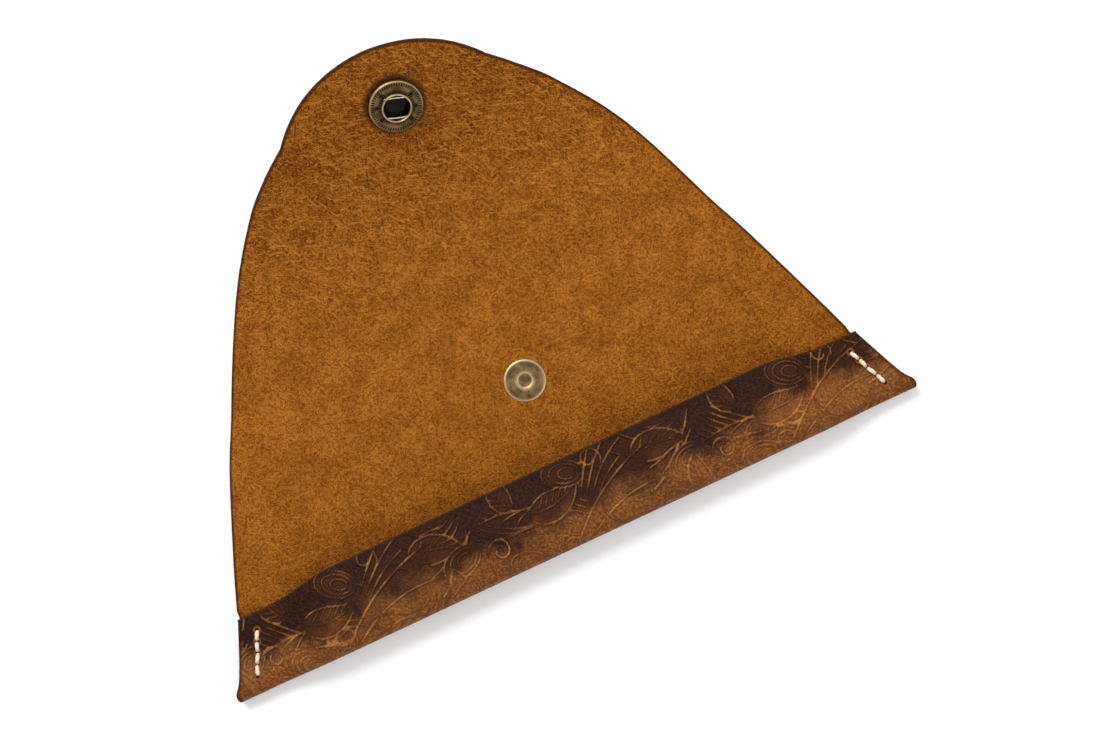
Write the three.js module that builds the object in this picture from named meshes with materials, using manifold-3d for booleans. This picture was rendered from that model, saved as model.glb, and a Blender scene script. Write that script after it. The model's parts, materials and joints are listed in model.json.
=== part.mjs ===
// Roll-up pen case: one sheet of leather with a folded and stitched pocket along its
// straight edge, a flap that tapers to a round tip, and a spring snap that closes the roll.
// Millimetres. X runs along the pocket fold, +Y from the fold to the flap tip, +Z up.
// The case lies open on its grain side, with the suede side up.
//
// The leather bends everywhere, so it is cut here into panels and narrow strips that hinge
// on the suede surface. Three rows of strips make the three half turns of the closed roll.
import * as THREE from 'three';
import { mergeVertices } from 'three/addons/utils/BufferGeometryUtils.js';
import Module from 'manifold-3d';

const wasm = await Module();
wasm.setup();

// ---- Driving dimensions ----
const leather = 1.6;             // leather thickness
const hingeGap = 0.4;            // slit between two strips
const fitGap = 0.15;             // clearance between snap parts
const rollGap = 0.4;             // clearance between two layers of the closed roll
const pocketGap = 0.5;           // clearance over the pocket in the closed roll

const foldHalfWidth = 94.2;      // half the width of the case at the fold
const mouthHalfWidth = 85.8;     // half the width at the pocket mouth
const pocketBack = 24;           // fold to the first hinge line
const mouthMiddle = 22;          // fold to the mouth edge, middle of the case
const mouthEnd = 19.3;           // fold to the mouth edge, stitched ends
const pocketHeight = 10;         // outer height of the pocket bulge
const mouthOpening = 4.7;        // free height of the mouth
const endLoopHeight = 5.4;       // outer height of the fold at the stitched ends
const pinchStart = 66;           // distance from the middle where the pinch starts
const pinchWidth = 19;           // length of the pinch at each end

const studPanelLength = 20.9;    // panel between the inner and the outer roll
const basePanelLength = 22.4;    // panel between the outer roll and the flap fold
const flapLength = 26.8;         // last hinge line to the flap tip
const snapFromFlapHinge = 11.0;  // last hinge line to the snap centre
const snapOffset = 5.3;          // snap centre to the right of the case's middle

const snapStack = 4.2;           // closed snap: stud side leather to socket side leather
const studHeight = 2.6;          // stud above the leather
const stitchCount = 4;           // visible stitches at each end
const stitchPitch = 2.9;
const stitchInset = 4.8;         // stitch line to the side edge
const stitchFirst = 4.7;         // fold to the first stitch hole
const threadRadius = 0.45;

// ---- The three half turns of the roll ----
// Hinges at equal angles along a half circle; the strips between them are its chords.
// A bend that spans the height h between two parallel panels has strips h * tan(step / 2).
const halfTurn = Math.PI;
const innerSpan = pocketHeight + pocketGap - leather;
const outerSpan = innerSpan + leather + rollGap;
const flapSpan = outerSpan + leather + snapStack;
const stripLength = (span, hinges) => span * Math.tan(halfTurn / hinges / 2);
const degrees = (list) => list.map(THREE.MathUtils.degToRad);

// Slopes of the strips and of the panel after them as the case lies open. A positive slope
// rises towards +Y. The stud holds its panel off the ground, so the leather ramps down on
// both sides of it; the flap curls up.
const outerSlopes = degrees([-10, -19, -12, 0]);
const innerSlopes = degrees([8, 12, 3.4]);
const flapHinges = 4;
const flapCurl = THREE.MathUtils.degToRad(8);
const flapSlopes = Array.from({ length: flapHinges }, (_, index) => (index + 1) * flapCurl);

const outerStrip = stripLength(outerSpan, outerSlopes.length);
const innerStrip = stripLength(innerSpan, innerSlopes.length);
const flapStrip = stripLength(flapSpan, flapHinges);

// ---- Hinge lines along the flat sheet, as distances from the fold ----
const innerRollEnd = pocketBack + (innerSlopes.length - 1) * innerStrip;
const studPanelEnd = innerRollEnd + studPanelLength;
const baseStart = studPanelEnd + (outerSlopes.length - 1) * outerStrip;
const baseEnd = baseStart + basePanelLength;
const flapStart = baseEnd + (flapHinges - 1) * flapStrip;
const tip = flapStart + flapLength;
const snapAt = flapStart + snapFromFlapHinge;
// In the closed roll the flap comes back over the stud panel, so the stud lies under the snap.
const studAt = studPanelEnd - (basePanelLength - snapFromFlapHinge);

// ---- Materials ----
const paint = (color, roughness, metalness) =>
  new THREE.MeshStandardMaterial({ color, roughness, metalness });
const suede = paint('#96591a', 0.95, 0);
const tooledLeather = paint('#5b3520', 0.55, 0);
const brass = paint('#6e563a', 0.42, 0.9);
const springSteel = paint('#c9c2b4', 0.25, 1);
const thread = paint('#e4d5bb', 0.8, 0);

// ---- Booleans ----
function bare(geometry) {
  const copy = geometry.clone();
  copy.deleteAttribute('normal');
  copy.deleteAttribute('uv');
  return mergeVertices(copy, 1e-4);
}

function solid(geometry) {
  const merged = bare(geometry);
  const corners = Array.from(merged.index.array);
  const kept = [];
  for (let at = 0; at < corners.length; at += 3) {
    const [a, b, c] = corners.slice(at, at + 3);
    if (a !== b && b !== c && c !== a) kept.push(a, b, c);
  }
  return new wasm.Manifold(new wasm.Mesh({
    numProp: 3,
    vertProperties: new Float32Array(merged.attributes.position.array),
    triVerts: new Uint32Array(kept),
  }));
}

function asGeometry(manifold) {
  const mesh = manifold.getMesh();
  const geometry = new THREE.BufferGeometry();
  geometry.setAttribute('position', new THREE.BufferAttribute(mesh.vertProperties, 3));
  geometry.setIndex(new THREE.BufferAttribute(mesh.triVerts, 1));
  geometry.computeVertexNormals();
  return geometry;
}

function part(name, geometry, material) {
  const mesh = new THREE.Mesh(geometry, material);
  mesh.name = name;
  return mesh;
}

// A cylinder along Z from low to high.
function post(radius, low, high, x = 0, y = 0) {
  const geometry = new THREE.CylinderGeometry(radius, radius, high - low, 24);
  return geometry.rotateX(Math.PI / 2).translate(x, y, (low + high) / 2);
}

// ---- The flat sheet beyond the pocket: straight tapering sides, shoulders, round tip ----
// The sides are splines through a few points, as [x, distance from the fold]. The tip is an
// arc that starts and ends at the same height above its centre.
const rightSide = [[83.6, pocketBack], [69.4, 60], [56.8, 91], [45, 109], [37.2, 118]];
const leftSide = [[-32.8, 118], [-41.2, 109], [-53.6, 91], [-69.2, 60], [-84.4, pocketBack]];
const tipRadius = 34.5;
const tipCentre = new THREE.Vector2(2.9, tip - tipRadius);
const tipEdge = THREE.MathUtils.degToRad(36);

function sheetOutline() {
  const points = (list) => list.map(([x, y]) => new THREE.Vector2(x, y));
  const arcStart = new THREE.Vector2(tipRadius, 0)
    .rotateAround(new THREE.Vector2(), tipEdge).add(tipCentre);
  const outline = new THREE.Shape();
  outline.moveTo(...rightSide[0]);
  outline.splineThru([...points(rightSide.slice(1)), arcStart]);
  outline.absarc(tipCentre.x, tipCentre.y, tipRadius, tipEdge, Math.PI - tipEdge, false);
  outline.splineThru(points(leftSide));
  outline.closePath();
  return outline;
}

const flatSheet = solid(
  new THREE.ExtrudeGeometry(sheetOutline(), { depth: leather, bevelEnabled: false, curveSegments: 8 })
    .translate(0, 0, -leather));

// A piece of the sheet between two hinge lines, with its local origin on the line `origin`,
// on the suede surface. `low` and `high` are the piece's ends along the sheet.
function cutPiece(low, high, origin, holes = []) {
  const wide = 3 * foldHalfWidth;
  const from = low + hingeGap / 2;
  const to = high - hingeGap / 2;
  const slab = new THREE.BoxGeometry(wide, to - from, 3 * leather).translate(0, (from + to) / 2, 0);
  let piece = flatSheet.intersect(solid(slab));
  for (const hole of holes) piece = piece.subtract(solid(hole));
  return asGeometry(piece).translate(0, -origin, 0);
}

// ---- The pocket: the sheet folded back on itself and pinched flat at both ends ----
const smooth = (value) => {
  const x = THREE.MathUtils.clamp(value, 0, 1);
  return x * x * (3 - 2 * x);
};
const mix = THREE.MathUtils.lerp;

// Half width of both pocket walls at a distance from the fold.
function pocketHalfWidth(distance) {
  const toMouth = THREE.MathUtils.clamp(distance / mouthEnd, -0.1, pocketBack / mouthEnd);
  return mix(foldHalfWidth, mouthHalfWidth, toMouth);
}

// Middle line of the bent leather in the plane across the fold: the back wall from the hinge
// line, the loop of the fold, then the front wall to the mouth edge. `pinch` is 0 in the
// middle of the case and 1 at its stitched ends. Points are [distance from the fold, height
// above the suede surface of the back wall].
const loopFrom = 0.34;           // share of the line where the loop starts
const loopTo = 0.66;             // and where it ends
const loopDepth = (pinch) => mix(5.2, 3.2, pinch);

function frontLine(onFront, pinch) {
  const mouth = mix(mouthMiddle, mouthEnd, pinch);
  const distance = mix(loopDepth(pinch) + leather / 2, mouth, onFront);
  const top = mix(pocketHeight, endLoopHeight, pinch) - 1.5 * leather;
  const mouthHeight = mix(mouthOpening, fitGap + 0.15, pinch) + leather / 2;
  const fallen = smooth(onFront * mix(0.9, 2.6, pinch)) / smooth(mix(0.9, 1, pinch));
  return [distance, mix(top, mouthHeight, fallen)];
}

function pocketLine(along, pinch) {
  const depth = loopDepth(pinch);
  if (along < loopFrom) {
    const backEnd = pocketBack - hingeGap / 2;
    return [mix(backEnd, depth + leather / 2, along / loopFrom), -leather / 2];
  }
  if (along <= loopTo) {
    const halfHeight = (mix(pocketHeight, endLoopHeight, pinch) - leather) / 2;
    const turn = Math.PI * (along - loopFrom) / (loopTo - loopFrom);
    const distance = depth + leather / 2 - depth * Math.sin(turn);
    return [distance, -leather / 2 + halfHeight * (1 - Math.cos(turn))];
  }
  return frontLine((along - loopTo) / (1 - loopTo), pinch);
}

// The bent sheet as a closed mesh: a grid of points on each face, joined round the edge.
function pocketGeometry() {
  const across = 26;
  const lengthwise = 30;
  const positions = [];
  const step = 1e-3;
  for (const face of [1, -1]) {
    for (let row = 0; row <= lengthwise; row += 1) {
      const side = Math.sin((row / lengthwise - 0.5) * Math.PI);
      const pinch = smooth((Math.abs(side) * foldHalfWidth - pinchStart) / pinchWidth);
      for (let column = 0; column <= across; column += 1) {
        const along = column / across;
        const [distance, height] = pocketLine(along, pinch);
        const [d0, h0] = pocketLine(Math.max(along - step, 0), pinch);
        const [d1, h1] = pocketLine(Math.min(along + step, 1), pinch);
        const length = Math.hypot(d1 - d0, h1 - h0);
        const normalDistance = (h1 - h0) / length;
        const normalHeight = -(d1 - d0) / length;
        const offset = face * leather / 2;
        positions.push(
          side * pocketHalfWidth(distance),
          distance + normalDistance * offset - pocketBack,
          height + normalHeight * offset);
      }
    }
  }
  const rowSize = across + 1;
  const faceSize = rowSize * (lengthwise + 1);
  const index = [];
  const quad = (a, b, c, d) => index.push(a, b, c, a, c, d);
  const at = (face, row, column) => face * faceSize + row * rowSize + column;
  for (let row = 0; row < lengthwise; row += 1) {
    for (let column = 0; column < across; column += 1) {
      quad(at(0, row, column), at(0, row, column + 1), at(0, row + 1, column + 1), at(0, row + 1, column));
      quad(at(1, row, column), at(1, row + 1, column), at(1, row + 1, column + 1), at(1, row, column + 1));
    }
    quad(at(0, row, 0), at(0, row + 1, 0), at(1, row + 1, 0), at(1, row, 0));
    quad(at(0, row + 1, across), at(0, row, across), at(1, row, across), at(1, row + 1, across));
  }
  for (let column = 0; column < across; column += 1) {
    quad(at(0, 0, column + 1), at(0, 0, column), at(1, 0, column), at(1, 0, column + 1));
    quad(at(0, lengthwise, column), at(0, lengthwise, column + 1),
      at(1, lengthwise, column + 1), at(1, lengthwise, column));
  }
  const geometry = new THREE.BufferGeometry();
  geometry.setAttribute('position', new THREE.Float32BufferAttribute(positions, 3));
  geometry.setIndex(index);
  geometry.computeVertexNormals();
  return geometry;
}

// ---- Hand stitches through both pocket walls ----
// One saddle-stitched thread at each end: it passes through every hole and lies half sunk
// in the leather between the holes, on the front and on the back.
const stitchSink = 0.2;          // thread centre below the leather surface
const stitchBottom = -leather + stitchSink;

// The front end of each hole, just under the surface of the pinched front wall.
function stitchHoles(side) {
  const lean = Math.atan2(foldHalfWidth - mouthHalfWidth, mouthEnd);
  const frontStart = frontLine(0, 1)[0];
  return Array.from({ length: stitchCount + 1 }, (_, hole) => {
    const distance = stitchFirst + hole * stitchPitch * Math.cos(lean);
    const x = side * (pocketHalfWidth(distance) - stitchInset);
    const onFront = (distance - frontStart) / (mouthEnd - frontStart);
    const top = frontLine(onFront, 1)[1] + leather / 2 - stitchSink;
    return new THREE.Vector3(x, distance - pocketBack, top);
  });
}

function rod(from, to, radius) {
  const geometry = new THREE.CapsuleGeometry(radius, from.distanceTo(to), 2, 6);
  const turn = new THREE.Quaternion().setFromUnitVectors(
    new THREE.Vector3(0, 1, 0), to.clone().sub(from).normalize());
  geometry.applyQuaternion(turn);
  return geometry.translate(...from.clone().add(to).multiplyScalar(0.5));
}

function threadSolid(side, radius) {
  const front = stitchHoles(side);
  const back = front.map((hole) => hole.clone().setZ(stitchBottom));
  const rods = front.map((hole, index) => rod(back[index], hole, radius));
  for (const points of [front, back]) {
    for (let index = 0; index < stitchCount; index += 1) {
      rods.push(rod(points[index], points[index + 1], radius));
    }
  }
  return rods.map(solid).reduce((joined, next) => joined.add(next));
}

function pocketPieces() {
  const clearance = 0.2;
  let pocket = solid(pocketGeometry());
  for (const side of [-1, 1]) pocket = pocket.subtract(threadSolid(side, threadRadius + clearance));
  return [
    part('pocket', asGeometry(pocket), tooledLeather),
    part('stitches_left', asGeometry(threadSolid(-1, threadRadius)), thread),
    part('stitches_right', asGeometry(threadSolid(1, threadRadius)), thread),
  ];
}

// ---- Snap fastener, turned parts on the Z axis, suede surface at height 0 ----
const turned = (profile, segments) =>
  new THREE.LatheGeometry(profile.map(([r, z]) => new THREE.Vector2(r, z)), segments)
    .rotateX(Math.PI / 2);

const capRadius = 7.2;
const capRise = 2.4;
const capPostRadius = 1.7;
const studPostRadius = 1.2;
const holeClearance = 0.3;
const socketBase = 0.3;          // thickness of the socket's base plate
const flareHeight = 2 * fitGap + socketBase + 0.4;

function capGeometry() {
  const top = -leather - fitGap;
  const dome = [];
  for (let step = 0; step <= 8; step += 1) {
    const angle = (step / 8) * Math.PI / 2;
    dome.push([capRadius * Math.sin(angle), top - 0.5 - (capRise - 0.5) * Math.cos(angle)]);
  }
  const flareRadius = 2.8;
  return turned([
    ...dome, [capRadius, top], [capPostRadius, top],
    [capPostRadius, 2 * fitGap + socketBase], [flareRadius, 2 * fitGap + socketBase],
    [flareRadius, flareHeight - 0.1], [flareRadius - 0.4, flareHeight], [0, flareHeight],
  ], 40);
}

const socketRadius = 6.9;
const socketHeight = 3.15;
const boreRadius = 3.4;
const springOffset = 2.65;       // snap axis to each spring wire
const springTurn = THREE.MathUtils.degToRad(-20);   // wires run this far from the X axis
const springHeight = 2.55;
const springRadius = 0.24;
const springHalfLength = 2.7;

function socketGeometry() {
  const ring = turned([
    [capPostRadius + fitGap, fitGap], [socketRadius - 0.3, fitGap], [socketRadius, fitGap + 0.4],
    [socketRadius, 1.5], [socketRadius - 0.35, 1.95], [socketRadius - 0.8, 2.05],
    [socketRadius - 1.3, 1.85], [boreRadius + 1.3, 2.2], [boreRadius + 1, 2.75],
    [boreRadius + 0.6, socketHeight], [boreRadius + 0.2, socketHeight], [boreRadius, 2.95],
    [boreRadius, fitGap + socketBase], [capPostRadius + fitGap, fitGap + socketBase],
    [capPostRadius + fitGap, fitGap],
  ], 40);
  let socket = solid(ring);
  const slotSize = 2 * springRadius + 2 * fitGap;
  const slotLength = 2 * springHalfLength + 2 * fitGap;
  for (const side of [-1, 1]) {
    const slot = new THREE.BoxGeometry(slotLength, slotSize, slotSize);
    socket = socket.subtract(solid(besideBore(slot, side)));
  }
  return asGeometry(socket);
}

// Moves a shape along X on the snap axis to the spring wire on one side of the bore.
function besideBore(geometry, side) {
  return geometry.translate(0, side * springOffset, springHeight).rotateZ(springTurn);
}

function springGeometry(side) {
  const wire = new THREE.CylinderGeometry(springRadius, springRadius, 2 * springHalfLength, 10);
  return besideBore(wire.rotateZ(Math.PI / 2), side);
}

const studBore = studPostRadius + fitGap;
const shankLength = 1.7;         // post shank beyond the leather

function studGeometry() {
  const face = -leather - fitGap;
  const low = -leather;
  return turned([
    [0, low - studHeight], [1.0, low - studHeight], [1.45, low - studHeight + 0.2],
    [1.85, low - 2.05], [1.75, low - 1.65], [1.75, low - 1.2], [2.3, low - 0.8],
    [5.6, low - 0.7], [6.2, low - 0.5], [6.2, face], [studBore, face],
    [studBore, low - shankLength - fitGap], [0, low - shankLength - fitGap],
  ], 36);
}

// The post's wide head sits in a shallow recess in the suede.
const headRadius = 5.4;
const headSink = 0.35;
const headRise = 0.3;

function studPostGeometry() {
  return turned([
    [0, -leather - shankLength], [studPostRadius, -leather - shankLength],
    [studPostRadius, -headSink + fitGap], [headRadius, -headSink + fitGap],
    [headRadius, headRise - 0.2], [headRadius - 0.5, headRise], [0, headRise],
  ], 36);
}

// ---- Assembly ----
// A chain of pieces hinged one after another, away from the base panel. Each link gives its
// name, the hinge lines at its near and far end, its slope, its holes and its fittings.
function hingeChain(parent, start, links) {
  let holder = parent;
  let parentSlope = 0;
  let parentOrigin = start;
  for (const link of links) {
    const hinge = new THREE.Group();
    hinge.name = `${link.name}_hinge`;
    hinge.position.y = link.near - parentOrigin;
    hinge.rotation.x = link.slope - parentSlope;
    holder.add(hinge);
    if (link.far !== undefined) {
      const low = Math.min(link.near, link.far);
      const high = Math.max(link.near, link.far);
      hinge.add(part(link.name, cutPiece(low, high, link.near, link.holes), suede));
    }
    for (const fitting of link.fittings ?? []) hinge.add(fitting);
    holder = hinge;
    parentSlope = link.slope;
    parentOrigin = link.near;
  }
}

// Names, hinge lines and slopes of the strips in one bend, counted from the base panel.
function bendStrips(name, start, length, slopes) {
  return slopes.slice(0, -1).map((slope, index) => ({
    name: `${name}_${index + 1}`,
    near: start + index * length,
    far: start + (index + 1) * length,
    slope,
  }));
}

const lastOf = (list) => list[list.length - 1];

function fit(name, geometry, material, y) {
  const mesh = part(name, geometry, material);
  mesh.position.set(snapOffset, y, 0);
  return mesh;
}

function studPanelLink() {
  const y = studAt - studPanelEnd;
  return {
    name: 'stud_panel',
    near: studPanelEnd,
    far: innerRollEnd,
    slope: lastOf(outerSlopes),
    holes: [
      post(studPostRadius + holeClearance, -2 * leather, leather, snapOffset, studAt),
      post(headRadius + holeClearance, -headSink, leather, snapOffset, studAt),
    ],
    fittings: [
      fit('snap_stud', studGeometry(), brass, y),
      fit('snap_stud_post', studPostGeometry(), brass, y),
    ],
  };
}

function flapLink() {
  return {
    name: 'flap',
    near: flapStart,
    far: tip + hingeGap,
    slope: lastOf(flapSlopes),
    holes: [post(capPostRadius + holeClearance, -2 * leather, leather, snapOffset, snapAt)],
    fittings: [
      fit('snap_cap', capGeometry(), brass, snapFromFlapHinge),
      fit('snap_socket', socketGeometry(), brass, snapFromFlapHinge),
      fit('snap_spring_front', springGeometry(-1), springSteel, snapFromFlapHinge),
      fit('snap_spring_rear', springGeometry(1), springSteel, snapFromFlapHinge),
    ],
  };
}

function penCase() {
  const group = new THREE.Group();
  const base = new THREE.Group();
  base.position.z = leather;
  group.add(base);
  base.add(part('base_panel', cutPiece(baseStart, baseEnd, baseStart), suede));
  hingeChain(base, baseStart, [
    ...bendStrips('outer_roll', baseStart, -outerStrip, outerSlopes),
    studPanelLink(),
    ...bendStrips('inner_roll', innerRollEnd, -innerStrip, innerSlopes),
    { name: 'pocket', near: pocketBack, slope: lastOf(innerSlopes), fittings: pocketPieces() },
  ]);
  hingeChain(base, baseStart, [
    ...bendStrips('flap_fold', baseEnd, flapStrip, flapSlopes),
    flapLink(),
  ]);
  const box = new THREE.Box3().setFromObject(group, true);
  group.position.y = -(box.min.y + box.max.y) / 2;
  return group;
}

export default penCase();
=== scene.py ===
"""A roll-up leather pen case, lying open on a pale table.

The leather is one sheet. `s` is the distance along it in millimetres: 0 at the pocket's
fold, negative up the front of the pocket, positive along the back and up the flap. The
sheet is cut into one piece for each hinge of the frame, and each piece holds the rounded
fold at its hinge.
"""
import json
import math

import bpy
import numpy as np
from mathutils import Matrix, Vector


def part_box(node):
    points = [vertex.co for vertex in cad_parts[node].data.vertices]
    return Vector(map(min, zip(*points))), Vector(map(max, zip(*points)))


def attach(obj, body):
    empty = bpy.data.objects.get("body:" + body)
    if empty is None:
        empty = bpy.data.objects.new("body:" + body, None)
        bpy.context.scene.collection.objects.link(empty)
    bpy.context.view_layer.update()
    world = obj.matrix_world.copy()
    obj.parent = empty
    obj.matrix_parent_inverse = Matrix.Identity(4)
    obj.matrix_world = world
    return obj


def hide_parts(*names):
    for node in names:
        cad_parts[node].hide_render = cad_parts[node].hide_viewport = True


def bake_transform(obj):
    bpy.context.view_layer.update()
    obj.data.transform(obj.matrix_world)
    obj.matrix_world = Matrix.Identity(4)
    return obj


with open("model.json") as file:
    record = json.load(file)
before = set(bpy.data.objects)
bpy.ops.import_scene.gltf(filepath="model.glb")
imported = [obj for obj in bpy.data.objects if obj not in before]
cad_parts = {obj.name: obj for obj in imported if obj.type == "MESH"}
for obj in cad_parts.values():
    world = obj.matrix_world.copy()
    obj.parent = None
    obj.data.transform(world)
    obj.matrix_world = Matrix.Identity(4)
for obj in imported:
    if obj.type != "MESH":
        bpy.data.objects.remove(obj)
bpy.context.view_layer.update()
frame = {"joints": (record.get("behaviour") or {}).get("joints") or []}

MM = 0.001

# ---- The leather, in millimetres ----
LEATHER = 1.6
FLAP_SLOPE = math.radians(32)    # of the flap beyond its last hinge line, seen from the side
BEND_WIDTH = 5.5          # length of the sheet over which each fold is rounded
BEYOND_TIP = 10           # the samples and the last cut lie this far past the tip
POCKET_BACK = 24.0        # fold to the pocket's hinge line
POCKET_CUT = 21.4         # fold to where the pocket's own piece ends
MOUTH_MIDDLE = 22.0       # fold to the mouth edge, in the middle and at the ends
MOUTH_END = 19.3
FOLD_HALF_WIDTH = 94.2
MOUTH_HALF_WIDTH = 85.8
FOLD_SWELL = (0.9, 2.4, 1.9)     # each end of the fold bulges: size, place and reach
FOLD_CORNER = (0.6, -0.4, 1.2)   # and its corner is rounded off
POCKET_HEIGHT = 10.0      # height and depth of the round fold in the middle
LOOP_DEPTH = 5.2
END_LOOP_HEIGHT = 5.4     # and at the stitched ends
END_LOOP_DEPTH = 3.2
MOUTH_OPENING = 4.7
END_MOUTH_OPENING = 0.3
FALL = 0.9                # how soon the front sinks to the mouth, in the middle
END_FALL = 2.6            # and at the stitched ends
PINCH_START = 66.0        # distance from the middle where the ends pinch flat
PINCH_WIDTH = 19.0
POCKET_SLOPE = math.radians(3.4)
LOOP_FROM = 0.34          # share of the pocket's line where its round fold starts
LOOP_TO = 0.66
POCKET_END_WIDTH = 92     # about half the fold's length, for the stain along its ends
FRONT_WAVE = 0.35         # the front wall's unevenness: height, length and random seed
FRONT_WAVE_LENGTH = 31
FRONT_WAVE_SEED = 17
FLAP_LENGTH = 26.8        # last hinge line to the tip
TIP_RADIUS = 34.5
TIP_X = 2.9
TIP_EDGE = math.radians(36)      # the tip's arc leaves out this much at either end of a half turn
# Points (x, s) of the two sides, from the pocket to the tip's arc.
RIGHT_SIDE = [(84.2, 21), (83.3, 24), (69.4, 60), (56.8, 91), (45, 109), (37.2, 118)]
LEFT_SIDE = [(-84.9, 21), (-84.2, 24), (-69.2, 60), (-53.6, 91), (-41.2, 109), (-32.8, 118)]
EDGE_STAIN = 0.6          # the dark stain fades over this length from a cut edge
POCKET_STAIN = 0.9
SNAP_SHADOW = (0.85, 0, 1.7)      # and the painted contact shadow round the snap's rim: strength, place and reach

# ---- The snap and the stitches ----
SNAP_X = 5.3
SOCKET_RADIUS = 7.0
SNAP_FROM_HINGE = 11.0    # last flap hinge to the snap's axis
STAR_ROW_TURN = math.radians(-22)     # the middle stars lie this far from the X axis
STAR_STEP = math.radians(41)
STAR_CIRCLE = 5.0
STAR_RAYS = 6
STAR_RAY, STAR_WAIST = 1.1, 0.36      # radius at a ray's point and between two rays
WIRE_TURN = math.radians(-20)
WIRE_HALF_LENGTH = 3.05
WIRE_OFFSET = 2.52        # from the bore's middle to the wire's ends
WIRE_BOW = 0.18
WIRE_HEIGHT = 2.62
WIRE_RADIUS = 0.25
STITCH_COUNT = 4
STITCH_PITCH = 2.9
STITCH_INSET = 4.8
STITCH_FIRST = 4.7
STITCH_HOLE = 0.95        # reach of the dimple round each hole
HOLE_DEPTH = 0.75
THREAD_RADIUS = 0.56
THREAD_TWIST = 2.2

# ---- Mesh fineness ----
PITCH = 0.5               # grid spacing of the sheet
GRID_HALF_WIDTH = 86
POCKET_ACROSS = 450       # columns along the fold
POCKET_ROWS_FRONT = 86    # rows round the fold and up the front
POCKET_ROWS_BACK = 12
RELIEF = 0.45             # height of the tooled relief
RIM_BULGE = 0.35
RIM_RINGS = 5
UV_SIZE = 100.0           # millimetres of the flat sheet in one unit of the UV map

# ---- Camera and light, in metres unless said ----
CAMERA_TURN = math.radians(25.1)      # the X axis rises this far to the right
CAMERA_HEIGHT = 0.66
CAMERA_SENSOR = 36
FRAME_WIDTH = 0.2793                  # width seen at the height of the table
CAMERA_SHIFT = (21.0, -16.2)          # frame centre from the case middle, right and up, mm
WORLD_LIGHT = 0.68
KEY_LIGHT = ((-0.55, 0.75, 1.0), 0.75, 16.0)     # place (right, up, above), size and power in watts
FILL_LIGHT = ((0.9, -0.4, 1.1), 0.9, 5.0)
TABLE_HALF_SIZE = 3.0
TABLE_LEVEL = -0.0002

JOINT_AT = {joint["child"]: joint["pos_m"] for joint in frame["joints"]}
POCKET_SIDE = ["outer_roll_1", "outer_roll_2", "outer_roll_3", "stud_panel",
               "inner_roll_1", "inner_roll_2", "pocket"]
FLAP_SIDE = ["flap_fold_1", "flap_fold_2", "flap_fold_3", "flap"]
BODY_ORDER = POCKET_SIDE[::-1] + ["base"] + FLAP_SIDE
HINGE_ORDER = POCKET_SIDE[::-1] + FLAP_SIDE


# ==== Small tools ===========================================================
def mix(a, b, share):
    return a + (b - a) * share


def smoothstep(value):
    value = np.clip(value, 0, 1)
    return value * value * (3 - 2 * value)


def hump(value, size, place, reach):
    """A bell-shaped bump."""
    return size * np.exp(-((value - place) / reach) ** 2)


def toward(angle):
    """The unit step (x, y) in each direction."""
    return np.stack([np.cos(angle), np.sin(angle)], -1)


def unit(vectors):
    return vectors / np.linalg.norm(vectors, axis=-1, keepdims=True)


def running_total(steps):
    return np.concatenate([[0], np.cumsum(steps)])


def round_turn(count):
    """Angles once round, without the last one that meets the first."""
    return np.linspace(0, 2 * math.pi, count, endpoint=False)


def grid_cells(rows, columns):
    """The cells of a grid of points that are numbered row by row."""
    corner = (np.arange(rows - 1)[:, None] * columns + np.arange(columns - 1)).ravel()
    return np.stack([corner, corner + 1, corner + columns + 1, corner + columns], 1)


def ring_cells(rings, around):
    """The cells between rings of points, each ring closed on itself."""
    ring, place = np.meshgrid(np.arange(rings - 1) * around, np.arange(around), indexing="ij")
    after = (place + 1) % around
    cells = [ring + place, ring + after, ring + around + after, ring + around + place]
    return np.stack(cells, -1).reshape(-1, 4)


def end_fans(rings, around):
    """Triangles that close the first and the last ring with two points numbered after them."""
    now = np.arange(around)
    after = (now + 1) % around
    last = (rings - 1) * around
    first_tip = np.full(around, rings * around)
    return [np.stack([after, now, first_tip], 1),
            np.stack([last + now, last + after, first_tip + 1], 1)]


# ==== The sheet's shape =====================================================
def hinge_lines():
    """Each hinge line's (y, z) and its distance s along the sheet."""
    points = np.array([JOINT_AT[name][1:] for name in HINGE_ORDER]) / MM
    steps = np.hypot(*np.diff(points, axis=0).T)
    return points, POCKET_BACK + running_total(steps)


HINGE_POINTS, HINGE_S = hinge_lines()
TIP_S = HINGE_S[-1] + FLAP_LENGTH
SNAP_S = HINGE_S[-1] + SNAP_FROM_HINGE


def smooth_line():
    """The suede surface seen from the side: samples of s, (y, z) and the unit tangent."""
    step = 0.25
    beyond = 40
    s = np.arange(0, TIP_S + BEYOND_TIP, step)
    fold = HINGE_POINTS[0] - toward(POCKET_SLOPE) * POCKET_BACK
    flap_end = HINGE_POINTS[-1] + toward(FLAP_SLOPE) * beyond
    corners = np.vstack([fold, HINGE_POINTS, flap_end])
    corner_s = np.concatenate([[0], HINGE_S, [HINGE_S[-1] + beyond]])
    line = np.stack([np.interp(s, corner_s, corners[:, axis]) for axis in (0, 1)], 1)
    window = np.hanning(int(BEND_WIDTH / step) | 1)
    window /= window.sum()
    pad = len(window) // 2
    for axis in (0, 1):
        ends = np.pad(line[:, axis], pad, mode="reflect", reflect_type="odd")
        line[:, axis] = np.convolve(ends, window, mode="valid")
    return s, line, unit(np.gradient(line, axis=0))


LINE_S, LINE, LINE_TANGENT = smooth_line()


def on_line(s):
    """(y, z) of the suede surface and its unit tangent at distances s."""
    place = [np.interp(s, LINE_S, LINE[:, axis]) for axis in (0, 1)]
    tangent = [np.interp(s, LINE_S, LINE_TANGENT[:, axis]) for axis in (0, 1)]
    return np.stack(place, -1), np.stack(tangent, -1)


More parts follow.
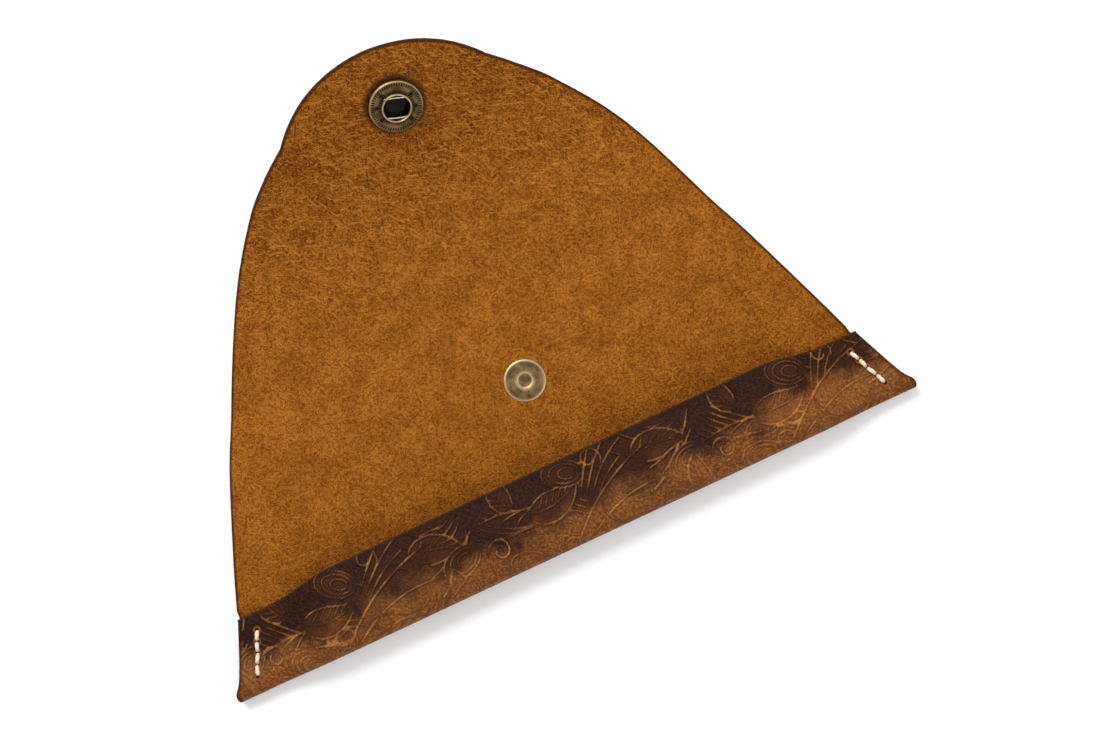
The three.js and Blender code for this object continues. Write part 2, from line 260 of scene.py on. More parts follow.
def sheet_point(x, s, depth):
    """A point `depth` below the suede surface."""
    place, tangent = on_line(s)
    y = place[..., 0] + tangent[..., 1] * depth
    z = place[..., 1] - tangent[..., 0] * depth
    return np.stack([x, y, z], -1)


def spline(points, per_span=40):
    """A Catmull-Rom curve through the points."""
    points = np.asarray(points, float)
    ends = np.vstack([2 * points[0] - points[1], points, 2 * points[-1] - points[-2]])
    t = np.linspace(0, 1, per_span, endpoint=False)[:, None]
    spans = []
    for a, b, c, d in zip(ends, ends[1:], ends[2:], ends[3:]):
        spans.append(0.5 * (2 * b + (c - a) * t + (2 * a - 5 * b + 4 * c - d) * t ** 2
                            + (3 * b - a - 3 * c + d) * t ** 3))
    return np.vstack(spans + [points[-1:]])


def outline():
    """The sheet's edge beyond the pocket, from the right side round the tip to the left."""
    centre = np.array([TIP_X, TIP_S - TIP_RADIUS])
    turn = np.linspace(TIP_EDGE, math.pi - TIP_EDGE, 160)
    arc = centre + TIP_RADIUS * toward(turn)
    right = spline(RIGHT_SIDE + [tuple(arc[0])])
    left = spline(LEFT_SIDE + [tuple(arc[-1])])
    return np.vstack([right[:-1], arc, left[::-1][1:]])


OUTLINE = outline()
TIP_INDEX = int(OUTLINE[:, 1].argmax())


def side_x(s, side):
    """x of the sheet's edge at distance s, on the right (1) or the left (-1)."""
    edge = OUTLINE[:TIP_INDEX + 1] if side > 0 else OUTLINE[:TIP_INDEX - 1:-1]
    order = np.argsort(edge[:, 1])
    return np.interp(s, edge[order, 1], edge[order, 0])


def pocket_half_width(distance):
    straight = mix(FOLD_HALF_WIDTH, MOUTH_HALF_WIDTH, distance / MOUTH_END)
    return straight + hump(distance, *FOLD_SWELL) - hump(distance, *FOLD_CORNER)


def pocket_line(along, pinch):
    """Middle of the leather, as (distance from the fold, height over the back's suede)."""
    depth = mix(LOOP_DEPTH, END_LOOP_DEPTH, pinch)
    loop_start = depth + LEATHER / 2
    height = mix(POCKET_HEIGHT, END_LOOP_HEIGHT, pinch)
    back = mix(POCKET_CUT, loop_start, np.clip(along / LOOP_FROM, 0, 1))
    turn = math.pi * np.clip((along - LOOP_FROM) / (LOOP_TO - LOOP_FROM), 0, 1)
    loop_distance = loop_start - depth * np.sin(turn)
    loop_height = -LEATHER / 2 + (height - LEATHER) / 2 * (1 - np.cos(turn))
    on_front = np.clip((along - LOOP_TO) / (1 - LOOP_TO), 0, 1)
    front = mix(loop_start, mix(MOUTH_MIDDLE, MOUTH_END, pinch), on_front)
    mouth_height = mix(MOUTH_OPENING, END_MOUTH_OPENING, pinch) + LEATHER / 2
    fallen = smoothstep(on_front * mix(FALL, END_FALL, pinch)) / smoothstep(mix(FALL, 1, pinch))
    front_height = mix(height - 1.5 * LEATHER, mouth_height, fallen)
    parts = [along < LOOP_FROM, along <= LOOP_TO]
    distance = np.select(parts, [back, loop_distance], front)
    level = np.select(parts, [-LEATHER / 2, loop_height], front_height)
    return distance, level


def pinch_at(x):
    return smoothstep((np.abs(x) - PINCH_START) / PINCH_WIDTH)


def pocket_to_row(x, distance, height):
    """From the pocket's own measures to the row frame, in millimetres."""
    hinge_y, hinge_z = HINGE_POINTS[0]
    back = distance - POCKET_BACK
    y = hinge_y + back * math.cos(POCKET_SLOPE) - height * math.sin(POCKET_SLOPE)
    z = hinge_z + back * math.sin(POCKET_SLOPE) + height * math.cos(POCKET_SLOPE)
    return np.stack([x, y, z], -1)


# ==== The tooled pattern on the grain side ==================================
TOOL_STEP = 0.2
TOOL_X = np.arange(-98, 98, TOOL_STEP)
TOOL_S = np.arange(-28, 144, TOOL_STEP)


class Tooling:
    """Raised lines and raised areas, drawn on a fine raster over the flat sheet."""

    def __init__(self):
        self.lines = np.zeros((len(TOOL_S), len(TOOL_X)))
        self.areas = np.zeros_like(self.lines)

    def window(self, low, high):
        columns = np.searchsorted(TOOL_X, [low[0], high[0]])
        rows = np.searchsorted(TOOL_S, [low[1], high[1]])
        part = (slice(*rows), slice(*columns))
        return part, TOOL_X[part[1]][None, :], TOOL_S[part[0]][:, None]

    def stroke(self, points, half_width=0.33, height=1.0):
        """A raised line, lower towards its ends."""
        points = np.asarray(points, float)
        reach = 2.2 * half_width
        count = len(points) - 1
        for index, (a, b) in enumerate(zip(points, points[1:])):
            part, x, s = self.window(np.minimum(a, b) - reach, np.maximum(a, b) + reach)
            if 0 in (x.size, s.size):
                continue
            run = b - a
            along = ((x - a[0]) * run[0] + (s - a[1]) * run[1]) / max(run @ run, 1e-9)
            along = np.clip(along, 0, 1)
            gap = np.hypot(x - a[0] - along * run[0], s - a[1] - along * run[1])
            ends = min(1, 0.5 + 4 * min(index + 0.5, count - index - 0.5) / count)
            bump = hump(gap, height * ends, 0, half_width)
            self.lines[part] = np.maximum(self.lines[part], bump)

    def fill(self, points, height=1.0):
        """A raised area inside a closed outline, which hides the lines behind it."""
        points = np.asarray(points, float)
        part, x, s = self.window(points.min(0), points.max(0))
        inside = np.zeros((s.size, x.size), bool)
        for a, b in zip(points, np.roll(points, -1, 0)):
            if a[1] == b[1]:
                continue
            crosses = (s > a[1]) != (s > b[1])
            inside ^= crosses & (x < a[0] + (s - a[1]) * (b[0] - a[0]) / (b[1] - a[1]))
        self.areas[part] = np.where(inside, height, self.areas[part])
        self.lines[part] = np.where(inside, 0, self.lines[part])

    def leaf(self, base, angle, length, width, bend):
        """A pointed leaf on a bent rib, with hatching along one half."""
        t = np.linspace(0, 1, 16)
        heading = angle + bend * t
        rib = base + np.cumsum(toward(heading), 0) * length / len(t)
        across = toward(heading + math.pi / 2)
        swell = (width / 2 * np.sin(math.pi * t ** 0.75) ** 0.8)[:, None]
        left, right = rib + across * swell, rib - across * swell
        self.fill(np.vstack([left, right[::-1]]), 0.8)
        self.stroke(left)
        self.stroke(right)
        self.stroke(rib[1:-2], 0.3, 0.8)
        for index in range(3, 12, 2):
            start = mix(rib[index], right[index], 0.25)
            stop = mix(rib[index + 2], right[index + 2], 0.8)
            self.stroke([start, mix(start, stop, 0.5), stop], 0.3, 0.8)

    def oval(self, centre, radii, angle):
        """A bud: an oval with two smaller ones in it."""
        turn = np.linspace(0, 2 * math.pi, 30)
        to_sheet = np.array([toward(angle), toward(angle + math.pi / 2)])
        for share in (1.0, 0.72, 0.4):
            ring = toward(turn) * radii * share
            ring[:, 0] += (1 - share) * radii[0] * 0.3
            ring = ring @ to_sheet + centre
            if share == 1.0:
                self.fill(ring, 0.7)
            self.stroke(ring, 0.3, 0.9)

    def curl(self, centre, radius, start, turns):
        """A tendril that winds in."""
        t = np.linspace(0, 1, 34)[:, None]
        turn = start + turns * 2 * math.pi * t[:, 0]
        self.stroke(centre + radius * (1 - 0.75 * t) * toward(turn), 0.34)

    def plume(self, base, angle, length, bend, count, spread):
        """Lines that leave one point side by side and fan out as they bend over.
        The ground between them is raised a little and hides what lies behind."""
        t = np.linspace(0, 1, 26)
        gap = 1.25
        lines = []
        for share in np.linspace(0, 1, count):
            heading = angle + spread * (share - 0.5) + bend * (0.45 + share) * t ** 1.3
            step = length * (1 - 0.35 * share) / len(t)
            start = base + gap * (count - 1) * (share - 0.5) * toward(angle + math.pi / 2)
            lines.append(start + np.cumsum(toward(heading), 0) * step)
        self.fill(np.vstack([lines[0], lines[-1][::-1]]), 0.3)
        for share, line in zip(np.linspace(0, 1, count), lines):
            self.stroke(line, 0.34, 1 - 0.25 * share)

    def hatch(self, centre, angle, count):
        """A few short parallel cuts that shade the ground between the leaves."""
        run, across = toward(angle), toward(angle + math.pi / 2)
        for index in range(count):
            start = centre + across * 1.1 * index + run * 0.5 * (index % 2)
            self.stroke([start, start + run * 1.9, start + run * (3.8 - 0.4 * index)], 0.28, 0.7)

    def soften(self):
        """Rounds the edges of the raised areas."""
        kernel = np.hanning(9)[1:-1]
        kernel /= kernel.sum()
        for axis in (0, 1):
            self.areas = np.apply_along_axis(np.convolve, axis, self.areas, kernel, "same")


def raster_at(raster, x, s):
    """The raster's value at each point, mixed from the four nearest."""
    column = np.clip((x - TOOL_X[0]) / TOOL_STEP, 0, len(TOOL_X) - 2)
    row = np.clip((s - TOOL_S[0]) / TOOL_STEP, 0, len(TOOL_S) - 2)
    c, r = column.astype(int), row.astype(int)
    low = mix(raster[r, c], raster[r, c + 1], column - c)
    high = mix(raster[r + 1, c], raster[r + 1, c + 1], column - c)
    return mix(low, high, row - r)


def draw_tooling():
    """Plumes, leaves, buds and tendrils in rows, turned over from one to the next."""
    rng = np.random.default_rng(23)
    tool = Tooling()
    row_step, column_step = 16.5, 31
    for row, level in enumerate(np.arange(-13.5, 142, row_step)):
        for column, x in enumerate(np.arange(-99, 99, column_step)):
            middle = (x + column_step / 2 * (row % 2), level) + rng.uniform(-1.8, 1.8, 2)
            up = 1 if (row + column) % 2 else -1
            lean = rng.uniform(-0.22, 0.22)
            tool.plume(middle + (-16, -up * 5.5), up * 0.85 + lean, 42, -up * 1.5, 6, 0.3)
            tool.plume(middle + (15, up * 6), math.pi + up * 0.75 - lean, 30, -up * 1.6, 5, 0.3)
            tool.plume(middle + (3, -up * 7), up * 0.3 + lean, 20, up * 1.3, 3, 0.3)
            tool.hatch(middle + (1, up * 6.4), -up * 0.5, 3)
            tool.leaf(middle + (-3, up * 0.5), up * 0.35 + lean, 16, 7.4, -up * 0.9)
            tool.leaf(middle + (-5, -up * 1.5), math.pi + up * 0.9 - lean, 12, 5.6, up * 1.0)
            tool.oval(middle + (10, -up * 5), (5.4, 3.4), 0.4 * up + lean)
            tool.curl(middle + (-12, up * 5.8), 3.3, 2.2 + up, up * 1.2)
    tool.soften()
    return tool


TOOLING = draw_tooling()


def soft_noise(x, s, size, seed):
    """Smooth noise between -1 and 1, from waves in random directions."""
    rng = np.random.default_rng(seed)
    total = np.zeros(np.broadcast(x, s).shape)
    for _ in range(9):
        heading, phase = rng.uniform(0, 2 * math.pi, 2)
        stretch = rng.uniform(0.7, 1.6) / size
        total += np.sin(2 * math.pi * stretch * (x * math.cos(heading) + s * math.sin(heading)) + phase)
    return np.clip(total / 4.0, -1, 1)


def tooling_at(x, s):
    """(relief from 0 to 1, height of the lines, height of the areas) of the grain face."""
    worn = 0.85 + 0.15 * soft_noise(x, s, 9, 3)
    lines = raster_at(TOOLING.lines, x, s) * worn
    areas = raster_at(TOOLING.areas, x, s)
    pebbles = 0.05 * soft_noise(x, s, 1.7, 5)
    relief = np.clip(0.12 + 0.38 * areas + 0.5 * lines + pebbles, 0, 1)
    return relief, lines, areas


# ==== Meshes ================================================================
def new_object(name, data):
    obj = bpy.data.objects.new(name, data)
    bpy.context.scene.collection.objects.link(obj)
    return obj


def new_mesh(name, vertices, faces, materials, face_material=None, uv=None, values=None):
    """A smooth-shaded object in metres, with vertex values and UVs given per vertex."""
    mesh = bpy.data.meshes.new(name)
    faces = [np.asarray(part) for part in faces]
    loops = np.concatenate([part.ravel() for part in faces]).astype(np.int32)
    sizes = np.concatenate([np.full(len(part), part.shape[1]) for part in faces])
    mesh.vertices.add(len(vertices))
    mesh.vertices.foreach_set("co", (np.asarray(vertices, np.float32) * MM).ravel())
    mesh.loops.add(len(loops))
    mesh.loops.foreach_set("vertex_index", loops)
    mesh.polygons.add(len(sizes))
    starts = np.concatenate([[0], np.cumsum(sizes)[:-1]]).astype(np.int32)
    mesh.polygons.foreach_set("loop_start", starts)
    if face_material is not None:
        mesh.polygons.foreach_set("material_index", np.concatenate(face_material).astype(np.int32))
    if uv is not None:
        layer = mesh.uv_layers.new(name="sheet")
        layer.data.foreach_set("uv", np.asarray(uv, np.float32)[loops].ravel())
    for key, value in (values or {}).items():
        attribute = mesh.attributes.new(key, "FLOAT", "POINT")
        attribute.data.foreach_set("value", np.asarray(value, np.float32))
    for material in materials:
        mesh.materials.append(material)
    mesh.update(calc_edges=True)
    mesh.validate()
    mesh.shade_smooth()
    mesh.set_sharp_from_angle(angle=math.radians(62))
    return new_object(name, mesh)


def split_cells(cells, count):
    """Triangles from grid cells, with the diagonal through a corner that sticks out."""
    uses = np.bincount(cells.ravel(), minlength=count)
    corner = (uses[cells[:, 1]] == 1) | (uses[cells[:, 3]] == 1)
    a, b, c, d = cells.T
    across = np.stack([np.stack([a, b, c], 1), np.stack([a, c, d], 1)], 1)
    other = np.stack([np.stack([a, b, d], 1), np.stack([b, c, d], 1)], 1)
    return np.where(corner[:, None, None], other, across).reshape(-1, 3)


def boundary_edges(triangles, count):
    """Directed edges that only one triangle uses."""
    edges = np.vstack([triangles[:, [0, 1]], triangles[:, [1, 2]], triangles[:, [2, 0]]])
    key = edges[:, 0].astype(np.int64) * count + edges[:, 1]
    back = edges[:, 1].astype(np.int64) * count + edges[:, 0]
    return edges[~np.isin(key, back)]


def shell(name, suede_points, grain_points, cells, outward, uv, values):
    """Leather between two faces of the same grid, closed by a rounded rim.

    `outward` is each point's direction away from the sheet's edge, zero where the piece
    meets its neighbour."""
    count = len(suede_points)
    triangles = split_cells(cells, count)
    edges = boundary_edges(triangles, count)
    rim = np.unique(edges)
    place = np.full(count, -1)
    place[rim] = np.arange(len(rim))
    rings = []
    for ring in range(RIM_RINGS):
        turn = math.pi * (ring + 1) / (RIM_RINGS + 1)
        middle = mix(suede_points[rim], grain_points[rim], (1 - math.cos(turn)) / 2)
        rings.append(middle + outward[rim] * RIM_BULGE * math.sin(turn))
    points = np.vstack([suede_points, grain_points] + rings)
    levels = [edges] + [2 * count + ring * len(rim) + place[edges] for ring in range(RIM_RINGS)]
    levels.append(edges + count)
    walls = np.vstack([np.stack([top[:, 1], top[:, 0], low[:, 0], low[:, 1]], 1)
                       for top, low in zip(levels, levels[1:])])
    faces = [triangles, triangles[:, ::-1] + count, walls]
    face_material = [np.zeros(len(triangles)), np.ones(len(triangles)), np.full(len(walls), 2)]
    everywhere = np.concatenate([np.arange(count), np.arange(count)] + [rim] * RIM_RINGS)
    spread = {key: value[everywhere] for key, value in values.items()}
    return new_mesh(name, points, faces, [SUEDE, GRAIN, EDGE], face_material,
                    uv[everywhere], spread)


def edge_direction(points):
    """For points on the outline, the nearest point of it and the direction outwards."""
    gaps = ((points[:, None, :] - OUTLINE[None, :, :]) ** 2).sum(2)
    near = gaps.argmin(1)
    run = unit(OUTLINE[np.minimum(near + 1, len(OUTLINE) - 1)] - OUTLINE[np.maximum(near - 1, 0)])
    base = OUTLINE[near]
    along = ((points - base) * run).sum(1)[:, None]
    return base + along * run, np.stack([run[:, 1], -run[:, 0]], 1)


def sheet_grid(low, high):
    """Points (x, s) and cells of a square grid between two distances, inside the outline."""
    rows = max(2, int(round((min(high, TIP_S + PITCH) - low) / PITCH)))
    s_row = np.linspace(low, min(high, TIP_S + PITCH / 2), rows + 1)
    x_column = np.arange(-GRID_HALF_WIDTH, GRID_HALF_WIDTH, PITCH)
    x, s = (grid.ravel() for grid in np.meshgrid(x_column, s_row))
    cells = grid_cells(len(s_row), len(x_column))
    middle_x = x[cells[:, 0]] + PITCH / 2
    middle_s = s[cells[:, 0]] + (s_row[1] - s_row[0]) / 2
    inside = (middle_x > side_x(middle_s, -1)) & (middle_x < side_x(middle_s, 1))
    used, cells = np.unique(cells[inside & (middle_s < TIP_S)], return_inverse=True)
    return np.stack([x[used], s[used]], 1), cells.reshape(-1, 4)


def fit_to_outline(flat, cells, cuts):
    """Moves the free edge's points onto the outline and gives every point's direction
    away from that edge, which is zero for all the others."""
    rim = np.unique(boundary_edges(split_cells(cells, len(flat)), len(flat)))
    on_cut = np.isclose(flat[:, 1], cuts[0]) | np.isclose(flat[:, 1], cuts[1])
    free = rim[~on_cut[rim]]
    direction = np.zeros(flat.shape)
    flat[free], direction[free] = edge_direction(flat[free])
    for side in (-1, 1):
        for cut in cuts:
            in_row = np.flatnonzero(np.isclose(flat[:, 1], cut) & on_cut)
            if len(in_row):
                last = in_row[np.argmax(flat[in_row, 0] * side)]
                flat[last, 0] = side_x(cut, side)
                direction[last] = (side, 0)
    return direction


def sheet_piece(name, low, high):
    """The sheet between two distances."""
    flat, cells = sheet_grid(low, high)
    direction = fit_to_outline(flat, cells, (low, high))
    x, s = flat.T
    relief, lines, areas = tooling_at(x, s)
    suede_points = sheet_point(x, s, 0)
    grain_points = sheet_point(x, s, LEATHER - RELIEF * (1 - relief))
    outward = np.column_stack([direction[:, 0], direction[:, 1:] * on_line(s)[1]])
    values = {"line": lines, "area": areas, "shade": edge_shade(x, s), "hole": np.zeros(len(x))}
    return shell(name, suede_points, grain_points, cells, outward, flat / UV_SIZE, values)


def edge_shade(x, s):
    """1 at the sheet's edge, for its dark stain, and a little less at the snap's rim, for a painted contact
    shadow; gone a few mm away.
    """
    gap = np.minimum(x - side_x(s, -1), side_x(s, 1) - x)
    tip_gap = TIP_RADIUS - np.hypot(x - TIP_X, s - TIP_S + TIP_RADIUS)
    gap = np.where(s < TIP_S - TIP_RADIUS * 0.45, gap, np.minimum(gap, tip_gap))
    snap_gap = np.hypot(x - SNAP_X, s - SNAP_S) - SOCKET_RADIUS
    return np.maximum(np.exp(-np.maximum(gap, 0) / EDGE_STAIN), hump(snap_gap, *SNAP_SHADOW))


def stitch_holes(side):
    """Each stitch hole on the front of the pocket, as (x, distance from the fold)."""
    lean = math.atan2(FOLD_HALF_WIDTH - MOUTH_HALF_WIDTH, MOUTH_END)
    distance = STITCH_FIRST + np.arange(STITCH_COUNT + 1) * STITCH_PITCH * math.cos(lean)
    straight = mix(FOLD_HALF_WIDTH, MOUTH_HALF_WIDTH, distance / MOUTH_END)
    return np.stack([side * (straight - STITCH_INSET), distance], 1)


def pocket_rows():
    """Shares along the pocket's line: wide steps on the back, fine ones on the front."""
    back = np.linspace(0, LOOP_FROM, POCKET_ROWS_BACK, endpoint=False)
    fine = np.linspace(LOOP_FROM, 1, 600)
    distance, height = pocket_line(fine, 0.0)
    length = running_total(np.hypot(np.diff(distance), np.diff(height)))
    front = np.interp(np.linspace(0, length[-1], POCKET_ROWS_FRONT), length, fine)
    return np.concatenate([back, front])


def pocket_middle(along, pinch):
    """The middle of the leather and the unit direction from there to the suede face."""
    step = 1e-3
    before = np.stack(pocket_line(np.maximum(along - step, 0), pinch), -1)
    after = np.stack(pocket_line(np.minimum(along + step, 1), pinch), -1)
    run = unit(after - before)
    inward = np.stack([run[..., 1], -run[..., 0]], -1)
    return np.stack(pocket_line(along, pinch), -1), inward


def pocket_x(t, distance, along):
    """x of the pocket's points, t being their share of the half width. Towards the cut, the
    back wall takes the width of the sheet there."""
    x = t * pocket_half_width(np.minimum(distance, POCKET_BACK))
    back_edge = np.where(t > 0, side_x(POCKET_CUT, 1), -side_x(POCKET_CUT, -1)) * t
    fade = smoothstep((distance - 17) / 4) * (along < LOOP_FROM)
    return mix(x, back_edge, fade)


def stitch_dimples(x, distance, on_front):
    """1 at each stitch hole of the front wall, falling to 0 round it."""
    dimple = np.zeros_like(x)
    for side in (-1, 1):
        for hole_x, hole_distance in stitch_holes(side):
            gap = np.hypot(x - hole_x, distance - hole_distance)
            dimple = np.maximum(dimple, hump(gap, on_front, 0, STITCH_HOLE))
    return dimple


def pocket_outward(shape):
    """Directions away from the two ends and the mouth edge, zero elsewhere."""
    outward = np.zeros(shape + (3,))
    outward[:, 0] = (-1, 0, 0)
    outward[:, -1] = (1, 0, 0)
    outward[-1, :, 1] = math.cos(POCKET_SLOPE)
    return outward.reshape(-1, 3)


def pocket_piece():
    """The pocket: back wall, round fold and front wall, pinched flat at both ends."""
    along, t = np.meshgrid(pocket_rows(), np.linspace(-1, 1, POCKET_ACROSS), indexing="ij")
    pinch = pinch_at(t * FOLD_HALF_WIDTH)
    middle, inward = pocket_middle(along, pinch)
    distance = middle[..., 0]
    x = pocket_x(t, distance, along)
    s = np.where(along < 0.5, distance, -distance)
    dimple = stitch_dimples(x, distance, along > 0.5)
    relief, lines, areas = tooling_at(x, s)
    stretched = smoothstep((np.abs(s) - 0.5) / 3.5)
    relief, lines = mix(0.5, relief, stretched), lines * mix(0.3, 1, stretched)
    sink = RELIEF * (1 - relief) + HOLE_DEPTH * dimple
    wave = soft_noise(x, s, FRONT_WAVE_LENGTH, FRONT_WAVE_SEED) * (along > LOOP_TO) * (1 - pinch)
    middle = middle - inward * FRONT_WAVE * wave[..., None]
    suede = middle + inward * LEATHER / 2
    grain = middle - inward * (LEATHER / 2 - sink)[..., None]
    suede_points, grain_points = (pocket_to_row(x, face[..., 0], face[..., 1]).reshape(-1, 3)
                                  for face in (suede, grain))
    cells = grid_cells(*x.shape)[:, [0, 3, 2, 1]]
    edge_gap = np.minimum((1 - np.abs(t)) * POCKET_END_WIDTH, np.abs(s + MOUTH_MIDDLE))
    values = {"line": lines, "area": areas, "hole": dimple, "shade": np.exp(-edge_gap / POCKET_STAIN)}
    values = {key: value.ravel() for key, value in values.items()}
    uv = np.stack([x.ravel(), s.ravel()], 1) / UV_SIZE
    return shell("pocket_leather", suede_points, grain_points, cells,
                 pocket_outward(x.shape), uv, values)


# ==== Materials =============================================================
def rgb(red, green, blue):
    """A screen colour out of 255 as the colour that the shader works with."""
    values = [channel / 255 for channel in (red, green, blue)]
    return [v / 12.92 if v <= 0.04045 else ((v + 0.055) / 1.055) ** 2.4 for v in values] + [1.0]


class Shader:
    """Short calls for the nodes of one material."""

    def __init__(self, name, roughness, metallic=0.0):
        self.material = bpy.data.materials.new(name)
        self.material.use_nodes = True
        self.tree = self.material.node_tree
        self.surface = self.tree.nodes["Principled BSDF"]
        self.surface.inputs["Roughness"].default_value = roughness
        self.surface.inputs["Metallic"].default_value = metallic

    def node(self, kind, inputs, **settings):
        """A new node; each input is a fixed value or another node's output."""
        node = self.tree.nodes.new("ShaderNode" + kind)
        for key, value in settings.items():
            setattr(node, key, value)
        for key, value in inputs.items():
            self.put(node.inputs[key], value)
        return node

    def put(self, socket, value):
        if isinstance(value, bpy.types.NodeSocket):
            self.tree.links.new(value, socket)
        else:
            socket.default_value = value

    def sheet(self, stretch=(1, 1), turn=0.0):
        """Millimetres on the flat sheet, turned and then stretched."""
        uv = self.node("UVMap", {}, uv_map="sheet").outputs["UV"]
        scale = (1 / UV_SIZE / stretch[0], 1 / UV_SIZE / stretch[1], 1)
        inputs = {"Vector": uv, "Rotation": (0, 0, turn), "Scale": scale}
        return self.node("Mapping", inputs, vector_type="TEXTURE").outputs["Vector"]

    def place(self, axis):
        """Millimetres across the sheet (X) or along it (Y)."""
        uv = self.node("UVMap", {}, uv_map="sheet").outputs["UV"]
        return self.times(self.node("SeparateXYZ", {0: uv}).outputs[axis], UV_SIZE)

    def noise(self, scale, detail=3.0, roughness=0.55, distortion=0.0, stretch=(1, 1), turn=0.0):
        inputs = {"Vector": self.sheet(stretch, turn), "Scale": scale, "Detail": detail,
                  "Roughness": roughness, "Distortion": distortion}
        return self.node("TexNoise", inputs).outputs["Fac"]

    def cells(self, scale):
        inputs = {"Vector": self.sheet(), "Scale": scale}
        return self.node("TexVoronoi", inputs).outputs["Distance"]

    def value(self, name):
        return self.node("Attribute", {}, attribute_name=name).outputs["Fac"]

    def times(self, a, b):
        return self.node("Math", {0: a, 1: b}, operation="MULTIPLY").outputs[0]

    def plus(self, a, b):
        return self.node("Math", {0: a, 1: b}, operation="ADD").outputs[0]

    def range(self, value, low, high, to_low=0.0, to_high=1.0):
        inputs = {"Value": value, "From Min": low, "From Max": high,
                  "To Min": to_low, "To Max": to_high}
        node = self.node("MapRange", inputs, interpolation_type="SMOOTHSTEP")
        return node.outputs["Result"]

    def blend(self, share, a, b, mode="MIX"):
        inputs = {"Factor": share, 6: a, 7: b}
        return self.node("Mix", inputs, data_type="RGBA", blend_type=mode).outputs[2]

    def bump(self, height, distance, strength=1.0):
        inputs = {"Height": height, "Distance": distance * MM, "Strength": strength}
        return self.node("Bump", inputs).outputs["Normal"]

    def finish(self, colour, roughness=None, normal=None, **fixed):
        inputs = {"Base Color": colour, "Roughness": roughness, "Normal": normal}
        inputs.update({key.replace("_", " "): value for key, value in fixed.items()})
        for key, value in inputs.items():
            if value is not None:
                self.put(self.surface.inputs[key], value)
        return self.material


def nap(shader):
    """Short suede fibres: stretched noise in four directions, mixed in patches."""
    layers = []
    for turn, scale in ((0.3, 1.3), (1.15, 1.362), (1.9, 1.414), (2.75, 1.466)):
        layers.append(shader.noise(scale, 2.0, 0.6, 0.9, stretch=(0.4, 1.75), turn=turn))
    patch = shader.range(shader.noise(0.75, 1.0), 0.46, 0.54)
    other = shader.noise(0.6, 1.0, turn=1.0)
    first = shader.blend(patch, layers[0], layers[1])
    second = shader.blend(patch, layers[2], layers[3])
    return shader.blend(shader.range(other, 0.45, 0.55), first, second)


DARK_STRAND = rgb(72, 32, 3)
LIGHT_STRAND = rgb(188, 120, 48)


def suede_material():
    """Golden nap, with loose strands that get more frequent towards the tip."""
    shader = Shader("suede", 0.95)
    fibres = nap(shader)
    fine = shader.noise(3.0, 2.0, 0.7)
    mottle = shader.noise(0.12, 4.0, 0.6)
    near_tip = shader.range(shader.place("Y"), 55.0, 122.0, 0.3, 1.0)
    colour = shader.blend(shader.range(fibres, 0.4, 0.6), rgb(100, 49, 4), rgb(170, 105, 33))
    colour = shader.blend(shader.range(fine, 0.36, 0.66, 0.0, 0.5), colour, rgb(162, 100, 34))
    dark = shader.blend(1.0, colour, rgb(234, 228, 218), "MULTIPLY")
    colour = shader.blend(shader.range(mottle, 0.4, 0.6), dark, colour)
    tip_colour = shader.blend(1.0, colour, rgb(244, 238, 226), "MULTIPLY")
    colour = shader.blend(near_tip, colour, tip_colour)
    strands = ((0.5, 0.75, DARK_STRAND), (2.1, 0.79, LIGHT_STRAND),
               (1.25, 0.83, DARK_STRAND), (2.8, 0.87, LIGHT_STRAND))
    for turn, scale, tint in strands:
        strand = shader.noise(scale, 2.0, 0.6, 1.2, stretch=(0.42, 2.6), turn=turn)
        scuff = shader.times(shader.range(strand, 0.56, 0.62), near_tip)
        colour = shader.blend(shader.times(scuff, 0.7), colour, tint)
    # darkens the sheet's edge stain and paints the contact shadow round the snap's socket
    edge = shader.range(shader.value("shade"), 0.3, 0.95, 0.0, 0.85)
    colour = shader.blend(edge, colour, rgb(58, 30, 10))
    height = shader.plus(shader.times(fibres, 0.8), shader.times(fine, 0.3))
    return shader.finish(colour, normal=shader.bump(height, 0.7), Specular_IOR_Level=0.05)


def light_band(shader):
    """1 where the front of the pocket is rubbed to tan, 0 on the dark rest."""
    wander = shader.noise(0.09, 3.0)
    wave = shader.times(shader.plus(wander, -0.5), 22.0)
    x = shader.place("X")
    ends = shader.plus(shader.range(x, 25.0, 85.0, 0.0, 4.5), shader.range(x, -76.0, -88.0, 0.0, 3.5))
    place = shader.plus(shader.plus(shader.place("Y"), wave), ends)
    return shader.times(shader.range(place, -12.5, -3.0), shader.range(place, 16.0, 7.0))


def tooled_colour(shader, light):
    """The creased ground and the raised areas."""
    crease = shader.noise(1.5, 3.0, 0.6, 0.6, stretch=(0.85, 1.2), turn=0.4)
    dark_ground = shader.blend(shader.range(crease, 0.38, 0.66), rgb(34, 15, 7), rgb(68, 36, 19))
    light_ground = shader.blend(shader.range(crease, 0.36, 0.66),
                                rgb(110, 63, 24), rgb(168, 109, 48))
    colour = shader.blend(light, dark_ground, light_ground)
    raised = shader.blend(light, rgb(96, 55, 28), rgb(168, 108, 50))
    return shader.blend(shader.times(shader.value("area"), 0.5), colour, raised)


